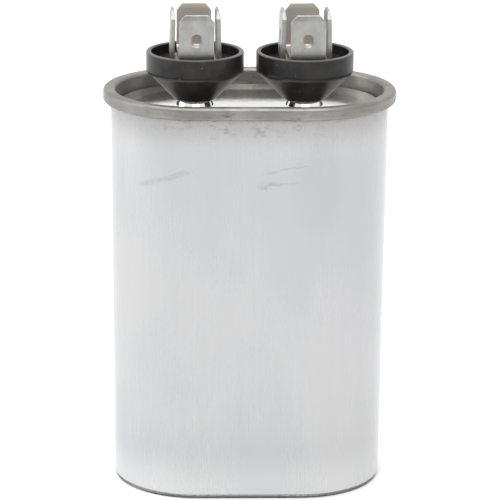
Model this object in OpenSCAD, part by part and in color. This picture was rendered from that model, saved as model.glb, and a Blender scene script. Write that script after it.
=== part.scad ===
// Motor run capacitor: an oval can closed by a double-seamed lid, with two blade
// terminals on moulded insulators and a pressed film winding inside.
// Millimetres. Origin at the centre of the underside, +Z up, long side along X.

/* [Case] */
// Outside width of the oval case along X
case_width = 50.8; // [44:0.1:64]
// Outside thickness of the oval case along Y
case_thickness = 31.75; // [29:0.05:36]
// Height from the underside to the top of the rim
case_height = 74.4; // [50:0.1:120]
// Thickness of the drawn wall
case_wall = 0.5; // [0.4:0.01:0.6]
// Thickness of the case floor
case_floor = 0.8; // [0.6:0.05:1.5]
// Radius round the bottom edge
case_bottom_radius = 0.8; // [0.3:0.05:1.2]

/* [Seam] */
// Thickness of the lid sheet
lid_sheet = 0.35; // [0.3:0.01:0.4]
// Height of the folded seam
seam_height = 2.35; // [2.2:0.05:3]
// Outside radius of the seam folds
seam_round = 0.6; // [0.5:0.01:0.65]
// Clearance between the folded layers of the seam
seam_gap = 0.05; // [0.03:0.01:0.08]

/* [Lid] */
// Depth from the rim top to the flat centre of the lid
lid_depth = 3.2; // [3:0.05:4.5]
// Height of the crest round the sunk centre
crest_rise = 0.45; // [0.3:0.05:0.6]
// Width of the groove between rim wall and crest
groove_width = 0.5; // [0.4:0.05:0.8]
// Depth of the groove below the crest
groove_depth = 0.7; // [0.6:0.05:1]
// Outside radius of the crest
crest_round = 0.28; // [0.2:0.02:0.3]
// Width of the slope from the crest down to the flat centre
slope_width = 2.6; // [1.5:0.1:3]
// Height of the raised seat under each insulator
seat_rise = 0.9; // [0.6:0.05:1.2]
// Top radius of the raised seat
seat_radius = 3; // [2.8:0.05:3.4]
// Outward spread of the side of the seat
seat_spread = 0.5; // [0.2:0.05:0.8]

/* [Insulators] */
// Distance between the two terminals
terminal_spacing = 20; // [19.2:0.1:23]
// Outside diameter of the insulator
cup_diameter = 17.8; // [17.4:0.1:18.6]
// Diameter of the insulator foot
cup_foot_diameter = 7.8; // [7.4:0.1:9]
// Overall height of the insulator
cup_height = 8.75; // [8:0.05:12]
// Height of the straight band at the top of the insulator
cup_band_height = 3.7; // [3.2:0.05:4.5]
// Wall of the insulator round its recess
cup_wall = 0.9; // [0.7:0.05:1.1]
// Depth of the recess that holds the blade strips
cup_recess = 1.9; // [1.8:0.05:2.6]
// Radius where the band meets the cone
cup_shoulder_radius = 1.2; // [0.6:0.05:1.6]
// Radius on the thin edges of the insulator
cup_edge_radius = 0.25; // [0.15:0.01:0.3]
// Thickness of the sealing gasket
gasket_thickness = 0.35; // [0.3:0.05:0.8]
// Radius of the sealing gasket
gasket_radius = 3.3; // [2.9:0.05:3.6]

/* [Blades] */
// Width of each blade
blade_width = 6.35; // [6.2:0.05:6.4]
// Thickness of each blade
blade_thickness = 0.8; // [0.75:0.01:0.85]
// Height of the blade tips above the insulator
blade_reach = 7.7; // [7:0.05:9]
// Distance over the outer faces of the front and back blades
outer_span = 12.4; // [11.8:0.1:12.6]
// Distance over the outer faces of the side blades at their bends
inner_span = 9.3; // [9.2:0.05:9.6]
// Inside radius of the blade bends
blade_bend_radius = 0.4; // [0.3:0.05:0.45]
// Inward lean of the side blades in degrees
side_lean = 1.3; // [0:0.1:2]
// Inward lean of the front and back blades in degrees
front_lean = 0; // [-1:0.1:1]
// Width cut from each blade corner
corner_width = 1.1; // [0.8:0.05:1.3]
// Height cut from each blade corner
corner_height = 1.35; // [0.8:0.05:1.5]
// Height of the coined edge on both faces of a tip
coin_height = 1; // [0.6:0.05:1.2]
// Depth of the coined edge on each face
coin_depth = 0.2; // [0.1:0.01:0.25]
// Diameter of the latch hole in each blade
latch_diameter = 1.85; // [1.6:0.05:2]
// Distance from the blade tip to the latch hole
latch_drop = 4.7; // [4:0.05:5]
// Depth of the soft edge round the latch hole
latch_edge = 0.15; // [0.1:0.01:0.2]
// Width of the soft edge round the latch hole
latch_margin = 0.3; // [0.2:0.05:0.4]
// Turn of the left terminal about its rivet in degrees
left_turn = 2; // [-4:0.5:4]
// Turn of the right terminal about its rivet in degrees
right_turn = 3; // [-4:0.5:4]

/* [Rivets] */
// Shank diameter of the terminal rivet
rivet_diameter = 2.4; // [2.2:0.05:2.6]
// Head diameter of the terminal rivet
rivet_head_diameter = 4.6; // [4.2:0.1:5]
// Head height of the terminal rivet
rivet_head_height = 0.8; // [0.6:0.05:1]
// Radius round the edge of the rivet head
rivet_head_radius = 0.55; // [0.3:0.05:0.6]
// Diameter of the closed end of the rivet
rivet_tail_diameter = 4; // [3.8:0.1:4.4]
// Height of the closed end of the rivet
rivet_tail_height = 0.6; // [0.5:0.05:0.8]
// Radius round the edge of the closed end
rivet_tail_radius = 0.4; // [0.2:0.05:0.5]
// Clearance between the shank and the holes it passes
rivet_clearance = 0.05; // [0.03:0.01:0.1]

/* [Inside the can] */
// Diameter of the bushing sleeve that lines the lid hole
sleeve_diameter = 3.8; // [3.6:0.05:4]
// Diameter of the bushing flange under the lid
flange_diameter = 8; // [7.4:0.1:9]
// Thickness of the bushing flange
flange_thickness = 0.9; // [0.7:0.05:1.2]
// Clearance round the moulded and pressed inner parts
inner_clearance = 0.1; // [0.05:0.01:0.15]
// Thickness of the solder lugs
lug_thickness = 0.4; // [0.3:0.05:0.5]
// Margin of the lug plate round the closed end of the rivet
lug_margin = 0.5; // [0.3:0.05:0.8]
// Inside radius of the lug bend
lug_bend = 0.25; // [0.15:0.05:0.4]
// Length of the lug tab that lies against its lead
lug_tab = 2.4; // [1.5:0.1:3]
// Width of the lead strips and lug tails
lead_width = 4; // [3:0.1:4.6]
// Thickness of the lead strips
lead_thickness = 0.3; // [0.2:0.01:0.35]
// Reach of the left lug from its rivet to its lead
left_lug_reach = 6; // [5:0.1:8]
// Length of the lead feet laid on the sprayed ends
lead_foot = 6; // [4:0.5:8]
// Height of the free space between the winding and the lid
head_space = 6.5; // [5:0.1:9]
// Thickness of the insulating trays
tray_thickness = 1.2; // [1:0.05:1.6]
// Height of the wall of the bottom tray
tray_wall_height = 6; // [4:0.5:12]
// Thickness of the sprayed metal on each end of the winding
spray_thickness = 0.6; // [0.4:0.05:0.8]
// Thickness of the insulating wrap
wrap_thickness = 0.4; // [0.3:0.05:0.5]

/* [Quality] */
// Facets of a full turn on the case and lid
case_facets = 36; // [24:4:64]
// Facets of a full turn on the small parts
part_facets = 20; // [16:4:48]
// Facets of a full turn on folds and rounded edges
fold_facets = 16; // [16:4:24]
// Piece to build on its own, or all

/* [Hidden] */

// Overlap past a face that is only cut through
cut = 1;

// Oval outline
half_thick = case_thickness / 2;
half_straight = (case_width - case_thickness) / 2;

// Seam layers, as distances outward from the outside of the case wall
hook_out = seam_gap + lid_sheet;
case_hook_in = hook_out + seam_gap;
case_hook_out = case_hook_in + case_wall;
panel_in = case_hook_out + seam_gap;
panel_out = panel_in + lid_sheet;
chuck_out = -case_wall - seam_gap;
chuck_in = chuck_out - lid_sheet;
seam_bottom = case_height - seam_height;
case_top = case_height - lid_sheet;
fold_round = seam_round - lid_sheet;

// Lid levels
lid_flat = case_height - lid_depth;
lid_under = lid_flat - lid_sheet;
crest_top = lid_flat + crest_rise;
groove_top = crest_top - groove_depth;
groove_side = chuck_in - groove_width;
crest_in = groove_side - lid_sheet;
slope_in = crest_in - slope_width;
groove_under = groove_top - groove_width / 2 - lid_sheet;
seat_top = lid_flat + seat_rise;
hole_radius = sleeve_diameter / 2 + inner_clearance;

// Insulators and terminals
cup_radius = cup_diameter / 2;
cup_foot_radius = cup_foot_diameter / 2;
cup_bottom = seat_top + gasket_thickness;
cup_top = cup_bottom + cup_height;
cup_floor = cup_top - cup_recess;
cup_shoulder = cup_top - cup_band_height;
bore_radius = rivet_diameter / 2 + rivet_clearance;
strip_middle = cup_floor + blade_thickness;
strip_top = strip_middle + blade_thickness;
blade_tip = cup_top + blade_reach;
bend_out = blade_bend_radius + blade_thickness;

// Inner parts
half_spacing = terminal_spacing / 2;
flange_bottom = lid_under - flange_thickness;
lug_bottom = flange_bottom - lug_thickness;
skirt_out = case_wall + inner_clearance;
skirt_in = skirt_out + tray_thickness;
wrap_out = skirt_in + inner_clearance;
winding_in = wrap_out + wrap_thickness;
lead_face = half_thick - wrap_out;
side_lead_x = half_straight - lead_width / 2;
tray_top = case_floor + tray_thickness;
winding_bottom = tray_top + spray_thickness;
plate_bottom = lid_under - head_space;
plate_top = plate_bottom + tray_thickness;
winding_top = plate_bottom - spray_thickness;
lug_bend_out = lug_bend + lug_thickness;
lug_radius = rivet_tail_diameter / 2 + lug_margin;

CAN_METAL = [0.80, 0.81, 0.82];
LID_METAL = [0.70, 0.69, 0.66];
BLADE_METAL = [0.74, 0.73, 0.70];
BLACK = [0.10, 0.10, 0.10];
RUBBER = [0.72, 0.66, 0.58];
FILM = [0.78, 0.78, 0.74];
ZINC = [0.60, 0.61, 0.63];
BOARD = [0.86, 0.83, 0.74];
COPPER = [0.75, 0.66, 0.56];

// Trims a corner p of a flat outline to radius r; u and v run along its two edges
module nose(p, u, v, r) {
    un = u / norm(u);
    vn = v / norm(v);
    mid = (un + vn) / norm(un + vn);
    half = acos(un * vn) / 2;
    run = r / tan(half);
    difference() {
        polygon([p + un * run, p - mid * r, p + vn * run]);
        translate(p + mid * r / sin(half)) circle(r, $fn = fold_facets);
    }
}

// Rectangle between two corners
module block2(x0, y0, x1, y1) {
    translate([x0, y0]) square([x1 - x0, y1 - y0]);
}

// Carries a flat outline (distance outward from the case wall, height) round the oval
module oval_sweep() {
    for (side = [-1, 1]) {
        translate([side * half_straight, 0, 0])
            rotate([0, 0, -90 * side])
            rotate_extrude(angle = 180, $fn = case_facets)
            translate([half_thick, 0])
            children();
        mirror([0, side < 0 ? 1 : 0, 0])
            translate([-half_straight, 0, 0])
            rotate([90, 0, 90])
            linear_extrude(2 * half_straight)
            translate([half_thick, 0])
            children();
    }
}

// Solid oval whose edge lies a given distance inside the case wall
module oval(inset, z0, z1) {
    translate([0, 0, z0])
        linear_extrude(z1 - z0)
        union() {
            for (side = [-1, 1])
                translate([side * half_straight, 0])
                    circle(half_thick - inset, $fn = case_facets);
            square([2 * half_straight, 2 * (half_thick - inset)], center = true);
        }
}

module can_outline() {
    difference() {
        union() {
            block2(-half_thick, 0, 0, case_floor);
            block2(-case_wall, 0, 0, case_top);
            block2(-case_wall, case_top - case_wall, case_hook_out, case_top);
            block2(case_hook_in, seam_bottom + lid_sheet + seam_gap, case_hook_out, case_top);
        }
        nose([0, 0], [-1, 0], [0, 1], case_bottom_radius);
        nose([-case_wall, case_top], [1, 0], [0, -1], fold_round);
        nose([case_hook_out, case_top], [-1, 0], [0, -1], fold_round);
    }
}

module can() {
    color(CAN_METAL) oval_sweep() can_outline();
}

// Rim fold, rim wall, outer panel and the hook under the case flange
module seam_outline() {
    difference() {
        union() {
            block2(chuck_in, groove_top, chuck_out, case_height);
            block2(chuck_in, case_top, panel_out, case_height);
            block2(panel_in, seam_bottom, panel_out, case_height);
            block2(seam_gap, seam_bottom, panel_out, seam_bottom + lid_sheet);
            block2(seam_gap, seam_bottom, hook_out, case_top - case_wall - seam_gap);
            difference() {
                block2(chuck_out, case_top - fold_round, panel_in, case_top);
                block2(chuck_out + fold_round, case_top - cut, panel_in - fold_round, case_top);
                for (x = [chuck_out + fold_round, panel_in - fold_round])
                    translate([x, case_top - fold_round]) circle(fold_round, $fn = fold_facets);
            }
        }
        nose([chuck_in, case_height], [1, 0], [0, -1], seam_round);
        nose([panel_out, case_height], [-1, 0], [0, -1], seam_round);
        nose([panel_out, seam_bottom], [-1, 0], [0, 1], seam_round);
        nose([seam_gap, seam_bottom], [1, 0], [0, 1], fold_round);
    }
}

// Groove, crest, slope and flat centre
module panel_outline() {
    slope_drop = crest_rise * lid_sheet / slope_width;
    translate([chuck_in - groove_width / 2, groove_top])
        difference() {
            circle(groove_width / 2 + lid_sheet, $fn = fold_facets);
            circle(groove_width / 2, $fn = fold_facets);
            translate([-cut, 0]) square([2 * cut, cut]);
        }
    difference() {
        polygon([
            [groove_side, groove_top],
            [groove_side, crest_top],
            [crest_in, crest_top],
            [slope_in, lid_flat],
            [-half_thick, lid_flat],
            [-half_thick, lid_under],
            [slope_in, lid_under],
            [crest_in, crest_top - lid_sheet - slope_drop],
            [crest_in, groove_top]
        ]);
        nose([groove_side, crest_top], [-1, 0], [0, -1], crest_round);
    }
}

module lid() {
    color(LID_METAL)
        difference() {
            union() {
                oval_sweep() {
                    seam_outline();
                    panel_outline();
                }
                for (side = [-1, 1])
                    translate([side * half_spacing, 0, lid_flat - lid_sheet / 2])
                        cylinder(h = seat_rise + lid_sheet / 2, r1 = seat_radius + seat_spread,
                                 r2 = seat_radius, $fn = part_facets);
            }
            for (side = [-1, 1])
                translate([side * half_spacing, 0, 0]) {
                    translate([0, 0, lid_under - cut])
                        cylinder(h = seat_rise + cut, r = seat_radius - lid_sheet, $fn = part_facets);
                    translate([0, 0, lid_under - cut])
                        cylinder(h = seat_rise + lid_sheet + 2 * cut, r = hole_radius,
                                 $fn = part_facets);
                }
        }
}

module cup() {
    cone = [cup_radius - cup_foot_radius, cup_shoulder - cup_bottom];
    color(BLACK)
        rotate_extrude($fn = part_facets)
        difference() {
            polygon([
                [bore_radius, cup_bottom],
                [cup_foot_radius, cup_bottom],
                [cup_radius, cup_shoulder],
                [cup_radius, cup_top],
                [cup_radius - cup_wall, cup_top],
                [cup_radius - cup_wall, cup_floor],
                [bore_radius, cup_floor]
            ]);
            nose([cup_foot_radius, cup_bottom], [-1, 0], cone, cup_edge_radius);
            nose([cup_radius, cup_shoulder], -cone, [0, 1], cup_shoulder_radius);
            nose([cup_radius, cup_top], [0, -1], [-1, 0], cup_edge_radius);
            nose([cup_radius - cup_wall, cup_top], [0, -1], [1, 0], cup_edge_radius);
        }
}

// One blade standing on the plane z = 0, its inner face at y = 0 and outer face at +y
module blade(length) {
    tip = blade_width / 2 - corner_width;
    difference() {
        rotate([90, 0, 0])
            translate([0, 0, -blade_thickness])
            linear_extrude(blade_thickness)
            polygon([
                [-blade_width / 2, 0],
                [blade_width / 2, 0],
                [blade_width / 2, length - corner_height],
                [tip, length],
                [-tip, length],
                [-blade_width / 2, length - corner_height]
            ]);
        for (face = [0, 1])
            translate([-blade_width, blade_thickness * face, 0])
                rotate([90, 0, 90])
                linear_extrude(2 * blade_width)
                mirror([face, 0])
                polygon([
                    [-cut, length - coin_height],
                    [0, length - coin_height],
                    [coin_depth, length],
                    [coin_depth, length + cut],
                    [-cut, length + cut]
                ]);
        translate([0, -cut, length - latch_drop])
            rotate([-90, 0, 0])
            cylinder(h = blade_thickness + 2 * cut, d = latch_diameter, $fn = part_facets);
        translate([0, blade_thickness - latch_edge, length - latch_drop])
            rotate([-90, 0, 0])
            cylinder(h = 2 * latch_edge, d1 = latch_diameter,
                     d2 = latch_diameter + 4 * latch_margin, $fn = part_facets);
    }
}

// Strip along Y, bent up into a blade at each end
module strip(base, span, lean) {
    bend_y = span / 2 - bend_out;
    length = (blade_tip - base - bend_out) / cos(lean);
    difference() {
        union() {
            translate([-blade_width / 2, -bend_y, base])
                cube([blade_width, 2 * bend_y, blade_thickness]);
            for (turn = [0, 180])
                rotate([0, 0, turn])
                    translate([0, bend_y, base + bend_out]) {
                        rotate([0, 90, 0])
                            rotate_extrude(angle = 90 + lean, $fn = part_facets)
                            translate([blade_bend_radius, -blade_width / 2])
                            square([blade_thickness, blade_width]);
                        rotate([lean, 0, 0])
                            translate([0, blade_bend_radius, 0])
                            blade(length);
                    }
        }
        translate([0, 0, base - cut])
            cylinder(h = blade_thickness + 2 * cut, r = bore_radius, $fn = part_facets);
    }
}

module cross_blades() {
    color(BLADE_METAL) strip(strip_middle, outer_span, front_lean);
}

module side_blades() {
    color(BLADE_METAL) rotate([0, 0, 90]) strip(cup_floor, inner_span, side_lean);
}

module rivet() {
    head = rivet_head_diameter / 2;
    tail = rivet_tail_diameter / 2;
    shank = rivet_diameter / 2;
    color(BLADE_METAL)
        rotate_extrude($fn = part_facets)
        difference() {
            polygon([
                [0, lug_bottom - rivet_tail_height],
                [tail, lug_bottom - rivet_tail_height],
                [tail, lug_bottom],
                [shank, lug_bottom],
                [shank, strip_top],
                [head, strip_top],
                [head, strip_top + rivet_head_height],
                [0, strip_top + rivet_head_height]
            ]);
            nose([head, strip_top + rivet_head_height], [-1, 0], [0, -1], rivet_head_radius);
            nose([tail, lug_bottom - rivet_tail_height], [-1, 0], [0, 1], rivet_tail_radius);
        }
}

module gasket() {
    color(RUBBER)
        translate([0, 0, seat_top])
        difference() {
            cylinder(h = gasket_thickness, r = gasket_radius, $fn = part_facets);
            translate([0, 0, -cut])
                cylinder(h = gasket_thickness + 2 * cut, r = hole_radius, $fn = part_facets);
        }
}

module bushing() {
    pilot = seat_radius - lid_sheet - inner_clearance;
    color(BOARD)
        rotate_extrude($fn = part_facets)
        polygon([
            [bore_radius, flange_bottom],
            [flange_diameter / 2, flange_bottom],
            [flange_diameter / 2, lid_under],
            [pilot, lid_under],
            [pilot, seat_top - lid_sheet],
            [sleeve_diameter / 2, seat_top - lid_sheet],
            [sleeve_diameter / 2, cup_bottom],
            [bore_radius, cup_bottom]
        ]);
}

// Plate round the rivet with a tail along -Y, set aside by shift and turned down at its lead
module lug(reach, shift) {
    bend_y = reach - lug_bend_out;
    color(COPPER)
        difference() {
            union() {
                translate([0, 0, lug_bottom])
                    cylinder(h = lug_thickness, r = lug_radius, $fn = part_facets);
                translate([shift - lead_width / 2, -lug_radius, lug_bottom])
                    cube([lead_width / 2 - shift, 2 * lug_radius, lug_thickness]);
                translate([shift, 0, 0]) {
                    translate([-lead_width / 2, -bend_y, lug_bottom])
                        cube([lead_width, bend_y, lug_thickness]);
                    translate([0, -bend_y, lug_bottom - lug_bend])
                        rotate([0, 90, 0])
                        rotate([0, 0, 180])
                        rotate_extrude(angle = 90, $fn = part_facets)
                        translate([lug_bend, -lead_width / 2])
                        square([lug_thickness, lead_width]);
                    translate([-lead_width / 2, -reach, lug_bottom - lug_bend - lug_tab])
                        cube([lead_width, lug_thickness, lug_tab]);
                }
            }
            translate([0, 0, lug_bottom - cut])
                cylinder(h = lug_thickness + 2 * cut, r = bore_radius, $fn = part_facets);
        }
}

// Strip standing against a lug tail, with a foot laid on a sprayed end
module lead(face, foot_z) {
    lead_top = lug_bottom - lug_bend;
    foot_y = -face - lead_thickness;
    color(COPPER)
        union() {
            translate([-lead_width / 2, foot_y, foot_z])
                cube([lead_width, lead_thickness, lead_top - foot_z]);
            translate([-lead_width / 2, foot_y, foot_z])
                cube([lead_width, lead_foot, lead_thickness]);
        }
}

module winding() {
    color(FILM) oval(winding_in, winding_bottom, winding_top);
}

module top_spray() {
    color(ZINC) oval(winding_in, winding_top, plate_bottom);
}

module bottom_spray() {
    color(ZINC) oval(winding_in, tray_top, winding_bottom);
}

module wrap() {
    color(FILM)
        difference() {
            oval(wrap_out, tray_top, plate_bottom);
            oval(winding_in, tray_top - cut, plate_bottom + cut);
        }
}

// Space for a lead strip that stands at (x, -face), from z0 to z1, and runs back by depth
module lead_slot(x, face, depth, z0, z1) {
    translate([x - lead_width / 2 - inner_clearance,
               -face - lead_thickness - inner_clearance, z0])
        cube([lead_width + 2 * inner_clearance,
              depth + lead_thickness + 2 * inner_clearance, z1 - z0]);
}

module bottom_tray() {
    wall_top = tray_top + tray_wall_height;
    color(BOARD)
        difference() {
            oval(skirt_out, case_floor, wall_top);
            oval(skirt_in, tray_top, wall_top + cut);
            lead_slot(side_lead_x, lead_face, lead_foot, tray_top - lead_thickness, tray_top + cut);
            lead_slot(side_lead_x, lead_face, 0, tray_top, wall_top + cut);
        }
}

module top_tray() {
    color(BOARD)
        difference() {
            oval(skirt_out, plate_bottom, groove_under);
            oval(skirt_in, plate_top, groove_under + cut);
            lead_slot(side_lead_x, lead_face, 0, plate_bottom - cut, groove_under + cut);
            lead_slot(-half_spacing, left_lug_reach, lead_foot, plate_bottom - cut, plate_top + cut);
        }
}

module top_lead() {
    translate([-half_spacing, 0, 0]) lead(left_lug_reach, plate_bottom);
}

module side_lead() {
    translate([side_lead_x, 0, 0]) lead(lead_face, tray_top - lead_thickness);
}

// Places a terminal piece on the left (-1) or right (1) side
module at_terminal(side) {
    translate([side * half_spacing, 0, 0])
        rotate([0, 0, side < 0 ? left_turn : right_turn])
        children();
}

module left_cup() { at_terminal(-1) cup(); }
module left_cross_blades() { at_terminal(-1) cross_blades(); }
module left_side_blades() { at_terminal(-1) side_blades(); }
module left_rivet() { at_terminal(-1) rivet(); }
module left_gasket() { at_terminal(-1) gasket(); }
module left_bushing() { at_terminal(-1) bushing(); }
module left_lug() { translate([-half_spacing, 0, 0]) lug(left_lug_reach, 0); }
module right_cup() { at_terminal(1) cup(); }
module right_cross_blades() { at_terminal(1) cross_blades(); }
module right_side_blades() { at_terminal(1) side_blades(); }
module right_rivet() { at_terminal(1) rivet(); }
module right_gasket() { at_terminal(1) gasket(); }
module right_bushing() { at_terminal(1) bushing(); }
module right_lug() { translate([half_spacing, 0, 0]) lug(lead_face, side_lead_x - half_spacing); }

can();
lid();
winding();
top_spray();
bottom_spray();
wrap();
bottom_tray();
top_tray();
top_lead();
side_lead();
left_cup();
left_cross_blades();
left_side_blades();
left_rivet();
left_gasket();
left_bushing();
left_lug();
right_cup();
right_cross_blades();
right_side_blades();
right_rivet();
right_gasket();
right_bushing();
right_lug();
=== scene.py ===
"""Motor run capacitor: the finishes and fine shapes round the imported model."""

import math

import bmesh
import bpy
from bpy.props import (
    FloatProperty,
    FloatVectorProperty,
    IntProperty,
    PointerProperty,
)
from mathutils import Matrix, Vector


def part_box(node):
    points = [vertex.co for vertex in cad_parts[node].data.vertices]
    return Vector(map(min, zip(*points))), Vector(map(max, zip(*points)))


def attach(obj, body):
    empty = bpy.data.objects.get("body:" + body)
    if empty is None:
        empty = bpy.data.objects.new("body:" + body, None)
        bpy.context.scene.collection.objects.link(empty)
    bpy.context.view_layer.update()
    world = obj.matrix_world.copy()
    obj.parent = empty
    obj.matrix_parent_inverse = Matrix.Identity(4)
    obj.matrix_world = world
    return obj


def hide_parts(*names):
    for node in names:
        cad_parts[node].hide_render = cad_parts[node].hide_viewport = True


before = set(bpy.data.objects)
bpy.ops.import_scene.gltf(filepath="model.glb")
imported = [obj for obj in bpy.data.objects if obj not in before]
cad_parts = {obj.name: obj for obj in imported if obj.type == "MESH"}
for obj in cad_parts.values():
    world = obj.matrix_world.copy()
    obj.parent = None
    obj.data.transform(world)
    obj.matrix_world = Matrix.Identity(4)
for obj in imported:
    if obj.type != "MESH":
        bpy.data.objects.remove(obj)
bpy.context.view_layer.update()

bl_info = {
    "name": "Motor Run Capacitor",
    "version": (1, 0, 0),
    "blender": (4, 5, 0),
    "location": "View3D > Sidebar > Capacitor",
    "description": "An oval can capacitor with a folded seam, two insulators and eight blades",
    "category": "Add Mesh",
}

MM = 0.001

# How far the flange of the case, hidden in the seam, stands out from the wall
FLANGE = 0.95 * MM
SIDES = ("left", "right")


def width_of(node, axis):
    """Size of a CAD node along one axis, in metres."""
    low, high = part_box(node)
    return round(high[axis] - low[axis], 6)


def middle_of(node):
    """Middle of a CAD node's box."""
    low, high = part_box(node)
    return (Vector(low) + Vector(high)) / 2


CASE_WIDTH = width_of("can", 0) - 2 * FLANGE
CASE_THICKNESS = width_of("can", 1) - 2 * FLANGE
CASE_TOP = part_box("can")[1][2]
CUP_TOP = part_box("left_cup")[1][2]
SIDE_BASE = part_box("left_side_blades")[0][2]
CROSS_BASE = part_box("left_cross_blades")[0][2]
BLADE_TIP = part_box("left_cross_blades")[1][2]


# Distances under which doubled points become one, in metres
JOIN_SWEEP = 1e-6
JOIN_STRIP = 1e-7
JOIN_FACES = 1e-8

# Facets round a hole, the longest step along a section and its turn round a corner
HOLE_STEPS = 40
SECTION_STEP = 2.0 * MM
CORNER_STEP = math.radians(9)

# Angles in degrees above which an edge stays sharp
SMOOTH_CASE = 30
SMOOTH_BLADE = 14

# Steps along a blade strip: half its flat, one bend, the coined tip and its rounded end
FLAT_STEPS = 4
BEND_STEPS = 14
COIN_STEPS = 4
END_STEPS = 3
# Plain stations of a blade, as distances from its tip
BLADE_STATIONS = (4.0 * MM, 2.5 * MM)

# Colours of what lies inside the can or shows only as an edge, dark and light
RUBBER = ((0.36, 0.25, 0.19), (0.50, 0.40, 0.33))
FILM = ((0.52, 0.53, 0.52), (0.70, 0.71, 0.69))
FILM_CLOUD = (0.44, 0.46, 0.47)
ZINC = ((0.30, 0.31, 0.33), (0.55, 0.56, 0.58))
ZINC_CLOUD = (0.24, 0.24, 0.25)
WRAP = ((0.62, 0.64, 0.62), (0.78, 0.79, 0.76))
PLASTIC = ((0.66, 0.62, 0.50), (0.76, 0.73, 0.62))
COPPER = ((0.62, 0.58, 0.54), (0.70, 0.52, 0.40))

# Waves of the film's cut edges per millimetre outward, in radians
FILM_RATE = 42.0

# Each light: its place, its width and height in metres, and its power in watts
LIGHTS = {
    "overhead_light": ((-0.15, 0.05, 1.3), (1.2, 1.0), 7.0),
    "left_light": ((-1.1, 0.2, 0.5), (0.8, 0.9), 4.0),
    "front_light": ((0.1, -0.9, 1.1), (1.0, 0.8), 7.0),
}
LIGHTS_AIM = Vector((0, 0, 0.05))


# Node trees written as expressions


class Wire:
    """One socket of a node tree, with the arithmetic that the trees below use."""

    def __init__(self, graph, socket):
        self.graph = graph
        self.socket = socket

    def other(self, output):
        """Another output of the same node."""
        return Wire(self.graph, self.socket.node.outputs[output])

    def maths(self, operation, *values):
        values = dict(enumerate(values))
        return self.graph.add("ShaderNodeMath", {"operation": operation}, values)

    def __add__(self, more):
        return self.maths("ADD", self, more)

    __radd__ = __add__

    def __sub__(self, less):
        return self.maths("SUBTRACT", self, less)

    def __rsub__(self, more):
        return self.maths("SUBTRACT", more, self)

    def __mul__(self, factor):
        return self.maths("MULTIPLY", self, factor)

    __rmul__ = __mul__

    def __truediv__(self, divisor):
        return self.maths("DIVIDE", self, divisor)

    def __rtruediv__(self, number):
        return self.maths("DIVIDE", number, self)

    def __pow__(self, power):
        return self.maths("POWER", self, power)

    def __neg__(self):
        return self.maths("MULTIPLY", self, -1.0)

    def __abs__(self):
        return self.maths("ABSOLUTE", self)

    def floor(self):
        return self.maths("FLOOR", self)

    def sign(self):
        return self.maths("SIGN", self)

    def sin(self):
        return self.maths("SINE", self)

    def cos(self):
        return self.maths("COSINE", self)

    def at_least(self, low):
        return self.maths("MAXIMUM", self, low)

    def at_most(self, high):
        return self.maths("MINIMUM", self, high)

    def clamp(self):
        return self.graph.add("ShaderNodeClamp", {}, {"Value": self})

    def rise(self, start, end):
        """0 up to start, 1 from end on, and smooth between."""
        return self.graph.add(
            "ShaderNodeMapRange",
            {"interpolation_type": "SMOOTHSTEP"},
            {"Value": self, "From Min": start, "From Max": end},
        )


class Graph:
    """A node tree, filled through one method."""

    def __init__(self, tree):
        self.tree = tree

    def add(self, kind, settings=None, values=None, output=0):
        """Adds any node: its settings first, then the values or links of its sockets."""
        node = self.tree.nodes.new(kind)
        for name, value in (settings or {}).items():
            setattr(node, name, value)
        for key, value in (values or {}).items():
            socket = node.inputs[key]
            if isinstance(value, Wire):
                self.tree.links.new(value.socket, socket)
            else:
                socket.default_value = value
        return Wire(self, node.outputs[output]) if len(node.outputs) else node

    def vector(self, x, y, z):
        return self.add("ShaderNodeCombineXYZ", {}, {"X": x, "Y": y, "Z": z})

    def split(self, vector):
        """The three parts of a vector."""
        x = self.add("ShaderNodeSeparateXYZ", {}, {"Vector": vector})
        return x, x.other("Y"), x.other("Z")

    def mix(self, factor, first, second):
        """A colour between two colours."""
        return self.add(
            "ShaderNodeMix",
            {"data_type": "RGBA"},
            {
                0: factor,
                6: first if isinstance(first, Wire) else (*first, 1.0),
                7: second if isinstance(second, Wire) else (*second, 1.0),
            },
            2,
        )


# Geometry Nodes


def new_geometry_tree(name, inputs):
    """An empty geometry tree with a geometry input, the named inputs and a geometry output."""
    tree = bpy.data.node_groups.new(name, "GeometryNodeTree")
    tree.interface.new_socket(name="Geometry", in_out="INPUT", socket_type="NodeSocketGeometry")
    for label, kind in inputs:
        tree.interface.new_socket(name=label, in_out="INPUT", socket_type="NodeSocket" + kind)
    tree.interface.new_socket(name="Geometry", in_out="OUTPUT", socket_type="NodeSocketGeometry")
    graph = Graph(tree)
    first = graph.add("NodeGroupInput")
    return graph, {label: first.other(label) for label in ["Geometry"] + [n for n, _ in inputs]}


def finish_geometry_tree(graph, mesh, material):
    """Ends a tree in real geometry that carries its material."""
    real = graph.add("GeometryNodeRealizeInstances", {}, {"Geometry": mesh})
    painted = graph.add("GeometryNodeSetMaterial", {}, {"Geometry": real, "Material": material})
    graph.add("NodeGroupOutput", {}, {"Geometry": painted})
    return graph.tree


def sheet_of_points(graph, rows, columns):
    """A grid of rows by columns, with each point's row and column number."""
    grid = graph.add(
        "GeometryNodeMeshGrid",
        {},
        {"Size X": 1.0, "Size Y": 1.0, "Vertices X": rows, "Vertices Y": columns},
    )
    index = graph.add("GeometryNodeInputIndex")
    row = ((index + 0.5) / columns).floor()
    return grid, row, index - row * columns


def point_of(graph, geometry, index):
    """Position of one numbered point of a geometry."""
    position = graph.add("GeometryNodeInputPosition")
    return graph.add(
        "GeometryNodeSampleIndex",
        {"data_type": "FLOAT_VECTOR", "domain": "POINT"},
        {"Geometry": geometry, "Value": position, "Index": index},
    )


def point_count(graph, geometry):
    """Number of points of a geometry."""
    return graph.add(
        "GeometryNodeAttributeDomainSize", {"component": "MESH"}, {"Geometry": geometry}
    )


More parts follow.
